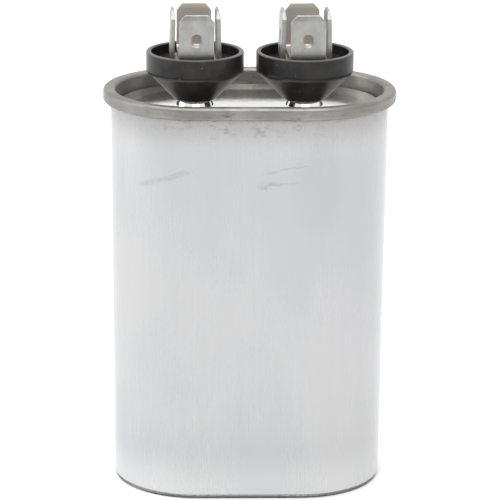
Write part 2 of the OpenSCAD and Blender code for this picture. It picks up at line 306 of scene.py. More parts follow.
def oval_sweep_tree():
    """Carries a section round an oval of two half circles and two straights.

    The section's points hold their distance outward from the case wall in X and their
    height in Z. The wall waves between the two middle heights and is even beyond the outer.
    """
    graph, given = new_geometry_tree(
        "Oval sweep",
        [
            ("Half Straight", "Float"),
            ("End Radius", "Float"),
            ("Turn Steps", "Int"),
            ("Straight Steps", "Int"),
            ("Unevenness", "Float"),
            ("Wave Size", "Float"),
            ("Even Below", "Float"),
            ("Wavy From", "Float"),
            ("Wavy To", "Float"),
            ("Even Above", "Float"),
            ("Seed", "Float"),
            ("Material", "Material"),
        ],
    )
    section = given["Geometry"]
    turn, straight = given["Turn Steps"], given["Straight Steps"]
    columns = (turn + straight) * 2 + 1
    grid, row, step = sheet_of_points(graph, point_count(graph, section), columns)
    out, _, up = graph.split(point_of(graph, section, row))

    # The outline starts at the front of the right end and goes round once
    turned = (step / turn).clamp() + ((step - turn - straight) / turn).clamp()
    angle = (turned - 0.5) * math.pi
    slid = ((step - turn) / straight).clamp()
    slid = slid - ((step - turn * 2 - straight) / straight).clamp()
    centre_x = given["Half Straight"] * (1 - slid * 2)

    # A drawn wall is never quite even between its two stiff ends
    outward = graph.vector(angle.cos(), angle.sin(), 0.0)
    place = graph.add("GeometryNodeInputPosition")
    noise = graph.add(
        "ShaderNodeTexNoise",
        {"noise_dimensions": "4D"},
        {
            "Vector": place,
            "W": given["Seed"],
            "Scale": 1 / given["Wave Size"],
            "Detail": 1.0,
            "Roughness": 0.4,
        },
    )
    free = up.rise(given["Even Below"], given["Wavy From"])
    free = free * (1 - up.rise(given["Wavy To"], given["Even Above"]))
    lift = (noise - 0.5) * given["Unevenness"] * free

    radius = given["End Radius"] + out
    swept = graph.vector(centre_x + radius * angle.cos(), radius * angle.sin(), up)
    placed = graph.add("GeometryNodeSetPosition", {}, {"Geometry": grid, "Position": swept})
    offset = graph.add(
        "ShaderNodeVectorMath", {"operation": "SCALE"}, {"Vector": outward, "Scale": lift}
    )
    waved = graph.add("GeometryNodeSetPosition", {}, {"Geometry": placed, "Offset": offset})
    joined = graph.add(
        "GeometryNodeMergeByDistance", {}, {"Geometry": waved, "Distance": JOIN_SWEEP}
    )
    return finish_geometry_tree(graph, joined, given["Material"])


def blade_strip_tree():
    """A strip bent up at both ends into blades with cut corners, coined tips and latch holes.

    The geometry given holds the stations along the strip: the distance from the middle in X,
    how far the section is drawn in at that station in Y, and 1 or 0 in Z where it closes.
    """
    graph, given = new_geometry_tree(
        "Blade strip",
        [
            ("Width", "Float"),
            ("Thickness", "Float"),
            ("Edge Radius", "Float"),
            ("Flat Half", "Float"),
            ("Bend Radius", "Float"),
            ("Bend Angle", "Float"),
            ("Length", "Float"),
            ("Corner Width", "Float"),
            ("Corner Height", "Float"),
            ("Coin Height", "Float"),
            ("Coin Depth", "Float"),
            ("Latch Diameter", "Float"),
            ("Latch Drop", "Float"),
            ("Latch Edge", "Float"),
            ("Latch Margin", "Float"),
            ("Rivet Hole", "Float"),
            ("Base", "Vector"),
            ("Turn", "Vector"),
            ("Material", "Material"),
        ],
    )
    thickness, bend = given["Thickness"], given["Bend Radius"] + given["Thickness"] * 0.5
    section = graph.add(
        "GeometryNodeCurvePrimitiveQuadrilateral",
        {},
        {"Width": given["Width"], "Height": thickness},
    )
    section = graph.add(
        "GeometryNodeFilletCurve",
        {"mode": "POLY"},
        {"Curve": section, "Count": 3, "Radius": given["Edge Radius"]},
    )
    section = graph.add("GeometryNodeCurveToMesh", {}, {"Curve": section})
    corners = point_count(graph, section)
    stations = point_count(graph, given["Geometry"])
    grid, row, column = sheet_of_points(graph, stations, corners + 1)
    column = column - (column / corners).floor() * corners
    along, drawn_in, open_end = graph.split(point_of(graph, given["Geometry"], row))
    across, through, _ = graph.split(point_of(graph, section, column))

    # Narrow to the cut corners and thin to the coined edge over the last of each blade
    half = given["Flat Half"] + bend * given["Bend Angle"] + given["Length"]
    from_tip = half - abs(along)
    half_width = given["Width"] * 0.5
    narrowed = given["Corner Width"] * (1 - from_tip / given["Corner Height"]).clamp()
    coined = given["Coin Depth"] * (1 - from_tip / given["Coin Height"]).clamp()
    across = across * ((half_width - narrowed - drawn_in) / half_width) * open_end
    through = through * ((thickness * 0.5 - coined - drawn_in) / (thickness * 0.5)) * open_end

    # The middle line: flat, round the bend, then up the blade
    distance = abs(along)
    angle = ((distance - given["Flat Half"]).at_least(0.0) / bend).at_most(given["Bend Angle"])
    beyond = (distance - given["Flat Half"] - bend * given["Bend Angle"]).at_least(0.0)
    line_y = distance.at_most(given["Flat Half"]) + bend * angle.sin() + angle.cos() * beyond
    line_z = bend * (1 - angle.cos()) + angle.sin() * beyond + thickness * 0.5
    side = along.sign()
    swept = graph.vector(
        across, side * (line_y - through * angle.sin()), line_z + through * angle.cos()
    )
    strip = graph.add("GeometryNodeSetPosition", {}, {"Geometry": grid, "Position": swept})
    strip = graph.add(
        "GeometryNodeMergeByDistance", {}, {"Geometry": strip, "Distance": JOIN_STRIP}
    )

    # Each latch hole stands on the blade, so it leans with it
    lean = given["Bend Angle"]
    reach = given["Length"] - given["Latch Drop"]
    hole_y = given["Flat Half"] + bend * lean.sin() + lean.cos() * reach
    hole_z = bend * (1 - lean.cos()) + lean.sin() * reach + thickness * 0.5
    hole = graph.add(
        "GeometryNodeMeshCylinder",
        {},
        {
            "Vertices": HOLE_STEPS,
            "Radius": given["Latch Diameter"] * 0.5,
            "Depth": thickness * 3,
        },
    )
    edge = graph.add(
        "GeometryNodeMeshCone",
        {},
        {
            "Vertices": HOLE_STEPS,
            "Radius Top": given["Latch Diameter"] * 0.5 + given["Latch Margin"] * 2,
            "Radius Bottom": given["Latch Diameter"] * 0.5,
            "Depth": given["Latch Edge"] * 2,
        },
    )
    edge_up = graph.vector(0.0, 0.0, thickness * 0.5 - given["Latch Edge"])
    edge = graph.add("GeometryNodeTransform", {}, {"Geometry": edge, "Translation": edge_up})
    for turn in (-1, 1):
        for shape in (hole, edge):
            laid = graph.add(
                "GeometryNodeTransform",
                {},
                {
                    "Geometry": shape,
                    "Translation": graph.vector(0.0, hole_y * turn, hole_z),
                    "Rotation": graph.vector(-lean * turn, 0.0, 0.0),
                },
            )
            strip = graph.add(
                "GeometryNodeMeshBoolean",
                {"operation": "DIFFERENCE", "solver": "EXACT"},
                {"Mesh 1": strip, "Mesh 2": laid},
            )
    middle = graph.add(
        "GeometryNodeMeshCylinder",
        {},
        {
            "Vertices": HOLE_STEPS,
            "Radius": given["Rivet Hole"] * 0.5,
            "Depth": thickness * 6,
        },
    )
    strip = graph.add(
        "GeometryNodeMeshBoolean",
        {"operation": "DIFFERENCE", "solver": "EXACT"},
        {"Mesh 1": strip, "Mesh 2": middle},
    )
    placed = graph.add(
        "GeometryNodeTransform",
        {},
        {"Geometry": strip, "Translation": given["Base"], "Rotation": given["Turn"]},
    )
    return finish_geometry_tree(graph, placed, given["Material"])


def grow(name, tree, points, inputs, smooth_angle):
    """Runs a geometry tree on a line of points and returns the result as a plain object."""
    line = bpy.data.meshes.new(name)
    line.from_pydata(points, [(i, i + 1) for i in range(len(points) - 1)], [])
    piece = bpy.data.objects.new(name, line)
    bpy.context.scene.collection.objects.link(piece)
    modifier = piece.modifiers.new(name, "NODES")
    modifier.node_group = tree
    for item in tree.interface.items_tree:
        if item.in_out == "INPUT" and item.name in inputs:
            modifier[item.identifier] = inputs[item.name]
    depsgraph = bpy.context.evaluated_depsgraph_get()
    mesh = bpy.data.meshes.new_from_object(piece.evaluated_get(depsgraph))
    mesh.name = name
    piece.modifiers.clear()
    piece.data = mesh
    face_outwards(mesh)
    mesh.shade_smooth()
    mesh.set_sharp_from_angle(angle=math.radians(smooth_angle))
    if not mesh.polygons:
        raise RuntimeError(f"{name} came out empty")
    return piece


def face_outwards(mesh):
    """Closes doubled points and turns every face outwards."""
    work = bmesh.new()
    work.from_mesh(mesh)
    bmesh.ops.remove_doubles(work, verts=work.verts, dist=JOIN_STRIP)
    bmesh.ops.dissolve_degenerate(work, edges=work.edges, dist=JOIN_FACES)
    bmesh.ops.recalc_face_normals(work, faces=work.faces)
    work.to_mesh(mesh)
    work.free()


def rounded_line(corners, longest):
    """Points along a bent line. Each corner is (out, up, radius), and long runs are divided."""
    points = []
    for i, (out, up, radius) in enumerate(corners):
        here = Vector((out, up))
        if radius and 0 < i < len(corners) - 1:
            back = (Vector(corners[i - 1][:2]) - here).normalized()
            on = (Vector(corners[i + 1][:2]) - here).normalized()
            half = math.acos(max(-1.0, min(1.0, back.dot(on)))) / 2
            centre = here + (back + on).normalized() * radius / math.sin(half)
            start = here + back * radius / math.tan(half) - centre
            sweep = math.pi - 2 * half
            if start.x * on.y - start.y * on.x < 0:
                sweep = -sweep
            steps = max(4, round(abs(sweep) / CORNER_STEP))
            for k in range(steps + 1):
                turn = Matrix.Rotation(sweep * k / steps, 2)
                points.append(centre + turn @ start)
        else:
            points.append(here)
    filled = [points[0]]
    for a, b in zip(points, points[1:]):
        pieces = max(1, math.ceil((b - a).length / longest))
        filled += [a + (b - a) * k / pieces for k in range(1, pieces + 1)]
    return [(p.x, 0.0, p.y) for p in filled]


# Finishes


def new_finish(name):
    """An empty material and its graph."""
    material = bpy.data.materials.new(name)
    material.use_nodes = True
    material.node_tree.nodes.clear()
    return material, Graph(material.node_tree)


def close_finish(graph, shader):
    """Ends a material in its shader."""
    graph.add("ShaderNodeOutputMaterial", {}, {"Surface": shader})


def millimetres(graph):
    """The place on the object, in millimetres."""
    here = graph.add("ShaderNodeTexCoord", {}, {}, "Object")
    return graph.add(
        "ShaderNodeVectorMath", {"operation": "SCALE"}, {"Vector": here, "Scale": 1 / MM}
    )


def grain(graph, here, size, stretch=(1, 1, 1), detail=2.0, roughness=0.5, shift=0.0):
    """Noise from 0 to 1 with features of about that size, longer where stretch is above 1."""
    scaled = graph.add(
        "ShaderNodeMapping",
        {},
        {
            "Vector": here,
            "Location": (shift, shift * 0.7, shift * 1.3),
            "Scale": tuple(1 / (size * s) for s in stretch),
        },
    )
    return graph.add(
        "ShaderNodeTexNoise",
        {"noise_dimensions": "3D"},
        {"Vector": scaled, "Scale": 1.0, "Detail": detail, "Roughness": roughness},
    )


def specks(graph, here, spacing, size, share, shift=0.0):
    """Small round specks: 1 on a speck, on that share of the cells of a random grid."""
    scaled = graph.add(
        "ShaderNodeMapping",
        {},
        {"Vector": here, "Location": (shift, shift, shift), "Scale": (1 / spacing,) * 3},
    )
    cell = graph.add(
        "ShaderNodeTexVoronoi",
        {"feature": "F1"},
        {"Vector": scaled, "Scale": 1.0, "Randomness": 1.0},
        "Distance",
    )
    pick, _, _ = graph.split(cell.other("Color"))
    radius = size / spacing
    return (1 - cell.rise(radius * 0.5, radius)) * pick.rise(0.99 - share, 1.01 - share)


def bump(graph, height):
    """A normal from a height in millimetres."""
    return graph.add("ShaderNodeBump", {}, {"Strength": 1.0, "Distance": MM, "Height": height})


def blob(across, up, centre, half_size):
    """1 in the middle of a soft oval patch and 0 outside it."""
    a = (across - centre[0]) / half_size[0]
    b = (up - centre[1]) / half_size[1]
    return 1 - (a * a + b * b).rise(0.1, 1.0)


def scratch(across, up, start, end, width):
    """1 along a soft line between two places and 0 away from it."""
    line = Vector(end) - Vector(start)
    length = line.length
    line.normalize()
    a, b = across - start[0], up - start[1]
    on = a * line.x + b * line.y
    off = abs(a * line.y - b * line.x)
    ends = on.rise(0.0, length * 0.25) * (1 - on.rise(length * 0.7, length))
    return (1 - off.rise(width * 0.2, width)) * ends


def surface(graph, colour, roughness, normal, metallic=1.0, specular=0.5):
    """The shader of a finish: metal, unless metallic says otherwise."""
    return graph.add(
        "ShaderNodeBsdfPrincipled",
        {},
        {
            "Base Color": colour,
            "Roughness": roughness,
            "Normal": normal,
            "Metallic": metallic,
            "Specular IOR Level": specular,
        },
    )


def case_aluminium(finish):
    """Drawn aluminium: satin, with upright draw lines, rubs under the seam and scratches, painted
    light at the foot and painted shade under the seam.
    """
    material, g = new_finish("case_aluminium")
    here = millimetres(g)
    x, y, z = g.split(here)
    front = (-y).rise(2.0, 9.0)
    lines = grain(g, here, 0.30, (1, 1, 90), 3.0, 0.6)
    broad_lines = grain(g, here, 1.7, (1, 1, 60), 1.0, 0.5, 3.1)
    cloud = grain(g, here, 16.0, (1, 1, 1.6), 2.0, 0.5, 7.7)
    fine = grain(g, here, 0.7, (1, 1, 1.4), 4.0, 0.65, 2.3)

    # Rubbed just under the seam, most on the front, and a line of dirt with a painted shadow
    # along the foot of the seam
    patchy = grain(g, here, 1.1, (1.7, 1.0, 0.8), 5.0, 0.7, 11.0)
    spread = grain(g, here, 6.0, (1.4, 1.0, 0.8), 2.0, 0.5, 4.0)
    middle = front * (1 - abs(x - 1.0).rise(8.0, 14.0))
    under_seam = z.rise(67.8, 70.6) * (0.35 + 0.65 * middle)
    rub = (patchy + (spread - 0.5) * 0.5).rise(0.52, 0.70) * under_seam
    seam_shadow_and_dirt = z.rise(71.2, 71.9) * (patchy * 0.6 + 0.4)

    # Long faint scratches, a smudge and a duller patch on the front
    wander = (grain(g, here, 3.0, (1, 1, 1), 2.0, 0.5, 5.0) - 0.5) * 1.0
    marks = scratch(x, z + wander, (-21.4, 58.6), (-9.8, 63.2), 0.75) * 0.55
    marks = marks + scratch(x, z + wander, (0.8, 61.9), (11.5, 64.0), 0.22) * 0.5
    marks = marks + scratch(x, z + wander, (1.0, 59.9), (10.0, 60.6), 0.25) * 0.35
    smudge = blob(x, z, (3.4, 59.7), (2.9, 1.5)) * patchy.rise(0.42, 0.68)
    dots = specks(g, here, 9.0, 0.55, 0.22, 1.7)
    marks = (marks + smudge * 0.7) * fine.rise(0.25, 0.6) * front
    marks = (marks + dots * 0.5).clamp()
    dull = blob(x, z, (12.0, 59.5), (6.0, 11.5)) * front

    colour = g.mix(cloud.rise(0.3, 0.7), finish.case_dark, finish.case_light)
    streaks = (lines - 0.5) * 0.22 + (broad_lines - 0.5) * 0.22 + 0.12
    colour = g.mix(streaks, colour, finish.case_dark)
    # Painted light at the foot, lighter towards the floor, and painted shade towards the seam,
    # greyer under its overhang
    colour = g.mix((1 - z.rise(0.0, 10.0)) * 0.4, colour, finish.case_foot_painted_light)
    # Painted shade: greyer towards the top, under the overhang of the seam
    colour = g.mix(z.rise(65.5, 73.5) * 0.47, colour, finish.dirt_and_shade)
    colour = g.mix(dull * 0.3, colour, finish.case_dull)
    # Rubs are wear; the line along the seam is dirt and painted shadow
    colour = g.mix((rub * 0.55 + seam_shadow_and_dirt * 0.25).clamp(), colour, finish.dirt_and_shade)
    colour = g.mix(marks * 0.35, colour, finish.dirt_and_shade)
    roughness = 0.27 + (cloud - 0.5) * 0.10 + (lines - 0.5) * 0.08
    roughness = roughness + rub * 0.2 + marks * 0.1
    height = (lines - 0.5) * 0.0035 + (broad_lines - 0.5) * 0.006 + (fine - 0.5) * 0.0012
    close_finish(g, surface(g, colour, roughness, bump(g, height - marks * 0.002)))
    return material


def lid_tinplate(finish, case):
    """Tinned steel: a grey, handled rim with stains, round a bright sunk centre with specks."""
    material, g = new_finish("lid_tinplate")
    here = millimetres(g)
    x, y, z = g.split(here)
    radius = case.thickness / 2 / MM
    half_straight = (case.width - case.thickness) / 2 / MM
    beyond = (abs(x) - half_straight).at_least(0.0)
    outward = (beyond * beyond + y * y) ** 0.5 - radius
    sunk = 1 - outward.rise(-1.35, -1.0)
    pan = 1 - z.rise(72.2, 73.4)

    fine = grain(g, here, 0.35, (1, 1, 1), 4.0, 0.7)
    stain = grain(g, here, 1.6, (1.8, 1.8, 0.5), 4.0, 0.65, 3.0)
    cloud = grain(g, here, 7.0, (1, 1, 1), 2.0, 0.5, 9.0)
    straight = 1 - abs(x).rise(8.0, 12.5)

    rim = g.mix(cloud.rise(0.3, 0.7), finish.rim_dark, finish.rim_light)
    rim = g.mix(stain.rise(0.5, 0.72) * (0.25 + 0.5 * straight), rim, finish.dirt_and_shade)
    rim = g.mix(fine.rise(0.35, 0.75) * 0.22, rim, finish.dirt_and_shade)
    spots = specks(g, here, 1.5, 0.14, 0.4, 2.0)
    centre = g.mix(cloud.rise(0.25, 0.75) * 0.3, finish.pan, finish.pan_dull)
    centre = g.mix(spots * 0.7, centre, finish.pan_speck)
    colour = g.mix(sunk, rim, centre)

    pan_roughness = 0.07 + fine.rise(0.3, 0.8) * 0.07 + (1 - pan) * 0.16
    rim_roughness = 0.46 + (stain - 0.5) * 0.2 + fine * 0.08
    roughness = rim_roughness * (1 - sunk) + pan_roughness * sunk
    wave = grain(g, here, 3.2, (1, 1, 1), 1.0, 0.5, 6.0)
    height = (fine - 0.5) * (0.004 * (1 - sunk) + 0.0008) + (stain - 0.5) * 0.012 * (1 - sunk)
    height = height + (wave - 0.5) * 0.014 + spots * sunk * 0.006
    close_finish(g, surface(g, colour, roughness, bump(g, height)))
    return material


def black_phenolic(finish):
    """Moulded black phenolic: satin, a little brown, with fine grain and pale dust."""
    material, g = new_finish("black_phenolic")
    here = millimetres(g)
    _, _, z = g.split(here)
    cloud = grain(g, here, 4.0, (1, 1, 1), 3.0, 0.6)
    fine = grain(g, here, 0.22, (1, 1, 1), 3.0, 0.6, 2.0)
    flow = grain(g, here, 0.8, (1, 1, 12), 2.0, 0.5, 4.0)
    dust = specks(g, here, 1.5, 0.17, 0.16, 3.0)
    dust = dust + specks(g, here, 0.8, 0.09, 0.2, 8.0)
    # The top edge: rubbed wear and a painted highlight, lighter along the lip
    lip_wear_and_highlight = z.rise(CUP_TOP / MM - 0.28, CUP_TOP / MM - 0.05)
    colour = g.mix(cloud.rise(0.3, 0.75), finish.black, finish.black_worn)
    colour = g.mix(lip_wear_and_highlight * (0.35 + 0.4 * fine), colour, finish.black_lip_wear_and_highlight)
    colour = g.mix((dust * 0.5).clamp(), colour, finish.dust)
    roughness = 0.33 + (cloud - 0.5) * 0.16 + (fine - 0.5) * 0.12 + (dust * 0.3).clamp()
    height = (fine - 0.5) * 0.006 + (flow - 0.5) * 0.008 + (cloud - 0.5) * 0.02
    close_finish(g, surface(g, colour, roughness, bump(g, height), 0.0, 0.28))
    return material


def blade_metal(finish):
    """Tinned brass: satin and cool, warmer at its foot, with painted light that makes the back
    blades lighter and warmer.
    """
    material, g = new_finish("blade_metal")
    here = millimetres(g)
    _, y, z = g.split(here)
    lines = grain(g, here, 0.10, (1, 1, 30), 3.0, 0.6)
    cloud = grain(g, here, 1.8, (1, 1, 1.3), 3.0, 0.6, 2.0)
    fine = grain(g, here, 0.18, (1, 1, 1), 3.0, 0.6, 5.0)
    foot = 1 - z.rise(CUP_TOP / MM - 0.6, CUP_TOP / MM + 1.8)
    colour = g.mix(cloud.rise(0.3, 0.7), finish.blade_dark, finish.blade_light)
    colour = g.mix(foot * 0.4 * cloud.rise(0.2, 0.8), colour, finish.blade_foot)
    colour = g.mix(fine.rise(0.62, 0.8) * 0.35, colour, finish.blade_marks)
    # Painted light: the back blades lighter and warmer
    colour = g.mix(y.rise(3.5, 5.2) * 0.9, colour, finish.blade_back_painted_light)
    roughness = 0.42 + (cloud - 0.5) * 0.14 + (lines - 0.5) * 0.1
    height = (lines - 0.5) * 0.0025 + (cloud - 0.5) * 0.008 + (fine - 0.5) * 0.0015
    close_finish(g, surface(g, colour, roughness, bump(g, height), 0.8))
    return material


def rivet_metal(finish):
    """Tinned steel of the rivets, dulled where the set closed them."""
    material, g = new_finish("rivet_metal")
    here = millimetres(g)
    cloud = grain(g, here, 0.9, (1, 1, 1), 3.0, 0.6)
    fine = grain(g, here, 0.15, (1, 1, 1), 4.0, 0.65, 2.0)
    colour = g.mix(cloud.rise(0.3, 0.7), finish.blade_dark, finish.blade_light)
    colour = g.mix(fine.rise(0.55, 0.8) * 0.4, colour, finish.rivet_marks)
    height = (cloud - 0.5) * 0.02 + (fine - 0.5) * 0.003
    close_finish(g, surface(g, colour, 0.32 + fine * 0.15, bump(g, height)))
    return material


def seal_rubber():
    """Tan seal rubber, dusty and matt."""
    material, g = new_finish("seal_rubber")
    here = millimetres(g)
    cloud = grain(g, here, 1.2, (1, 1, 1), 4.0, 0.6)
    fine = grain(g, here, 0.12, (1, 1, 1), 3.0, 0.7, 1.0)
    colour = g.mix(cloud.rise(0.3, 0.7), *RUBBER)
    close_finish(g, surface(g, colour, 0.6 + fine * 0.2, bump(g, (fine - 0.5) * 0.01), 0.0))
    return material


def film_roll(case):
    """Metallised film: the turns end in fine ovals, and the outside is plain."""
    material, g = new_finish("film")
    here = millimetres(g)
    x, y, _ = g.split(here)
    half_straight = (case.width - case.thickness) / 2 / MM
    beyond = (abs(x) - half_straight).at_least(0.0)
    ring = (beyond * beyond + y * y) ** 0.5
    turns = ((ring * FILM_RATE).sin() + 1) * 0.5
    cloud = grain(g, here, 5.0, (1, 1, 3), 2.0, 0.5)
    crease = grain(g, here, 0.5, (1, 1, 40), 3.0, 0.6, 2.0)
    colour = g.mix(turns * 0.5, *FILM)
    colour = g.mix(cloud.rise(0.35, 0.7) * 0.3, colour, FILM_CLOUD)
    height = turns * 0.006 + (crease - 0.5) * 0.02
    close_finish(g, surface(g, colour, 0.25 + crease * 0.15, bump(g, height), 0.55))
    return material


def sprayed_zinc():
    """Flame sprayed zinc: grey, matt and grainy."""
    material, g = new_finish("zinc")
    here = millimetres(g)
    drops = grain(g, here, 0.35, (1, 1, 1), 5.0, 0.75)
    cloud = grain(g, here, 4.0, (1, 1, 1), 2.0, 0.5, 3.0)
    colour = g.mix(drops.rise(0.3, 0.7), *ZINC)
    colour = g.mix(cloud.rise(0.4, 0.8) * 0.3, colour, ZINC_CLOUD)
    height = (drops - 0.5) * 0.12
    close_finish(g, surface(g, colour, 0.55 + drops * 0.2, bump(g, height), 0.9))
    return material


def wrap_film():
    """Clear insulating film, milky in layers, with long soft creases."""
    material, g = new_finish("wrap_film")
    here = millimetres(g)
    crease = grain(g, here, 2.2, (1, 1, 9), 3.0, 0.55)
    haze = grain(g, here, 8.0, (1, 1, 1), 2.0, 0.5, 4.0)
    colour = g.mix(haze.rise(0.3, 0.7), *WRAP)
    height = (crease - 0.5) * 0.05
    close_finish(g, surface(g, colour, 0.18 + crease * 0.12, bump(g, height), 0.0))
    return material


def tray_plastic():
    """Natural moulded plastic of the trays and bushings, with a soft mould texture."""
    material, g = new_finish("tray_plastic")
    here = millimetres(g)
    texture = grain(g, here, 0.3, (1, 1, 1), 3.0, 0.6)
    cloud = grain(g, here, 9.0, (1, 1, 1), 2.0, 0.5, 6.0)
    colour = g.mix(cloud.rise(0.3, 0.7), *PLASTIC)
    height = (texture - 0.5) * 0.012
    close_finish(g, surface(g, colour, 0.42 + texture * 0.12, bump(g, height), 0.0))
    return material


def lead_metal():
    """Tinned copper strip: bright, with a pink cast where the tin is thin."""
    material, g = new_finish("lead_metal")
    here = millimetres(g)
    lines = grain(g, here, 0.12, (1, 1, 20), 3.0, 0.6)
    cloud = grain(g, here, 2.0, (1, 1, 2), 3.0, 0.6, 3.0)
    colour = g.mix(cloud.rise(0.35, 0.7), *COPPER)
    close_finish(g, surface(g, colour, 0.28 + cloud * 0.15, bump(g, (lines - 0.5) * 0.004)))
    return material


# What a user would change


def length_property(name, description, default):
    """A length, given in metres."""
    return FloatProperty(name=name, description=description, default=default, unit="LENGTH")


def angle_property(name, description, degrees):
    """An angle, given in degrees."""
    return FloatProperty(
        name=name, description=description, default=math.radians(degrees), subtype="ANGLE"
    )


def colour_property(name, description, default):
    """A linear colour."""
    return FloatVectorProperty(
        name=name,
        description=description,
        default=default,
        subtype="COLOR",
        size=3,
        min=0,
        max=1,
    )


class CAPACITOR_PG_case(bpy.types.PropertyGroup):
    """Sizes of the oval case."""

    width: length_property("Width", "Outside width of the oval case", CASE_WIDTH)
    thickness: length_property(
        "Thickness", "Outside thickness of the oval case", CASE_THICKNESS
    )
    wall: length_property("Wall", "Thickness of the drawn wall", 0.5 * MM)
    floor: length_property("Floor", "Thickness of the case floor", 0.8 * MM)
    bottom_radius: length_property("Bottom Radius", "Radius round the bottom edge", 0.8 * MM)
    seam_height: length_property(
        "Seam Height", "Height of the folded seam that holds the lid", 2.35 * MM
    )
    lid_sheet: length_property("Lid Sheet", "Thickness of the lid sheet in the seam", 0.35 * MM)
    seam_gap: length_property("Seam Gap", "Clearance between the folded layers", 0.05 * MM)
    fold_radius: length_property("Fold Radius", "Radius where the flange turns over", 0.25 * MM)
    unevenness: length_property(
        "Unevenness", "How far the drawn wall waves in and out", 0.22 * MM
    )
    wave_size: length_property(
        "Wave Size", "Distance over which the drawn wall waves", 30 * MM
    )
    even_below: length_property(
        "Even Below", "Height under which the foot of the wall is even", 3.6 * MM
    )
    wavy_from: length_property("Wavy From", "Height from which the wall waves fully", 12 * MM)
    wavy_to: length_property(
        "Wavy To", "Distance from the top at which the waves start to fade", 15.5 * MM
    )
    even_above: length_property(
        "Even Above", "Distance from the top at which the wall is even again", 3.5 * MM
    )
    turn_steps: IntProperty(
        name="Turn Steps", description="Faces round each rounded end", default=56, min=8
    )
    straight_steps: IntProperty(
        name="Straight Steps", description="Faces along each straight", default=24, min=1
    )
    seed: FloatProperty(name="Seed", description="Picks another unevenness", default=4.0)


class CAPACITOR_PG_blades(bpy.types.PropertyGroup):
    """Sizes of the blade strips."""

    width: length_property("Width", "Width of each blade", 6.35 * MM)
    thickness: length_property("Thickness", "Thickness of each blade", 0.8 * MM)
    edge_radius: length_property("Edge Radius", "Radius on the stamped edges", 0.09 * MM)
    bend_radius: length_property("Bend Radius", "Inside radius of the bends", 0.4 * MM)
    outer_span: length_property(
        "Outer Span", "Distance over the front and back blades", 12.4 * MM
    )
    inner_span: length_property(
        "Inner Span", "Distance over the side blades at their bends", 9.3 * MM
    )
    side_lean: angle_property("Side Lean", "Inward lean of the side blades", 1.3)
    left_turn: angle_property("Left Turn", "Turn of the left terminal about its rivet", 2)
    right_turn: angle_property("Right Turn", "Turn of the right terminal about its rivet", 3)
    corner_width: length_property("Corner Width", "Width cut from each corner", 1.1 * MM)
    corner_height: length_property("Corner Height", "Height cut from each corner", 1.35 * MM)
    coin_height: length_property("Coin Height", "Height of the coined edge of a tip", 1.0 * MM)
    coin_depth: length_property("Coin Depth", "Depth of the coined edge on each face", 0.2 * MM)
    latch_diameter: length_property("Latch Hole", "Diameter of each latch hole", 1.85 * MM)
    latch_drop: length_property("Latch Drop", "Distance from the tip to the hole", 4.7 * MM)
    latch_edge: length_property("Latch Edge", "Depth of the soft edge of the hole", 0.15 * MM)
    latch_margin: length_property("Latch Margin", "Width of the soft edge", 0.3 * MM)
    rivet_hole: length_property("Rivet Hole", "Diameter of the hole for the rivet", 2.5 * MM)


class CAPACITOR_PG_finish(bpy.types.PropertyGroup):
    """Colours of the finishes."""

    case_light: colour_property("Case Light", "Clean drawn aluminium", (0.485, 0.485, 0.49))
    case_dark: colour_property("Case Dark", "Duller drawn aluminium", (0.435, 0.44, 0.45))
    case_foot_painted_light: colour_property("Case Foot Painted Light", "Aluminium lightened at the foot as painted light", (0.80, 0.80, 0.80))
    # Painted light: the paler colour mixed in at the foot of the case
    case_dull: colour_property("Case Dull", "Patch dulled by handling", (0.38, 0.39, 0.41))
    # Also the colour of the painted shade under the seam
    dirt_and_shade: colour_property("Dirt and Shade", "Rubbed in dirt, handling marks and painted shade under the seam", (0.16, 0.145, 0.13))
    rim_light: colour_property("Rim Light", "Cleaner tin on the seam", (0.34, 0.33, 0.31))
    rim_dark: colour_property("Rim Dark", "Duller tin on the seam", (0.25, 0.24, 0.225))
    pan: colour_property("Lid Centre", "Bright tin of the sunk centre", (0.90, 0.89, 0.87))
    pan_dull: colour_property("Lid Centre Dull", "Duller tin of the centre", (0.70, 0.69, 0.66))
    pan_speck: colour_property("Lid Specks", "Specks on the centre", (0.5, 0.49, 0.47))
    black: colour_property("Insulator", "Black phenolic", (0.012, 0.011, 0.011))
    black_worn: colour_property(
        "Insulator Worn", "Phenolic greyed by handling", (0.03, 0.028, 0.027)
    )
    # Rubbed wear and a painted highlight on the top edge of the insulators
    black_lip_wear_and_highlight: colour_property("Insulator Lip", "Rubbed edge with a painted highlight", (0.16, 0.15, 0.15))
    dust: colour_property("Dust", "Pale dust on the insulators", (0.42, 0.40, 0.38))
    blade_light: colour_property("Blade Light", "Bright tin on the blades", (0.43, 0.435, 0.42))
    blade_dark: colour_property("Blade Dark", "Duller tin on the blades", (0.34, 0.34, 0.325))
    blade_foot: colour_property("Blade Foot", "Warm tarnish low down", (0.40, 0.36, 0.27))
    blade_marks: colour_property("Blade Marks", "Handling marks", (0.28, 0.27, 0.24))
    # Painted light on the back blades
    blade_back_painted_light: colour_property("Blade Back Painted Light", "Lighter, warmer back blades as painted light", (0.62, 0.57, 0.50))
    rivet_marks: colour_property("Rivet Marks", "Marks of the set", (0.25, 0.23, 0.20))


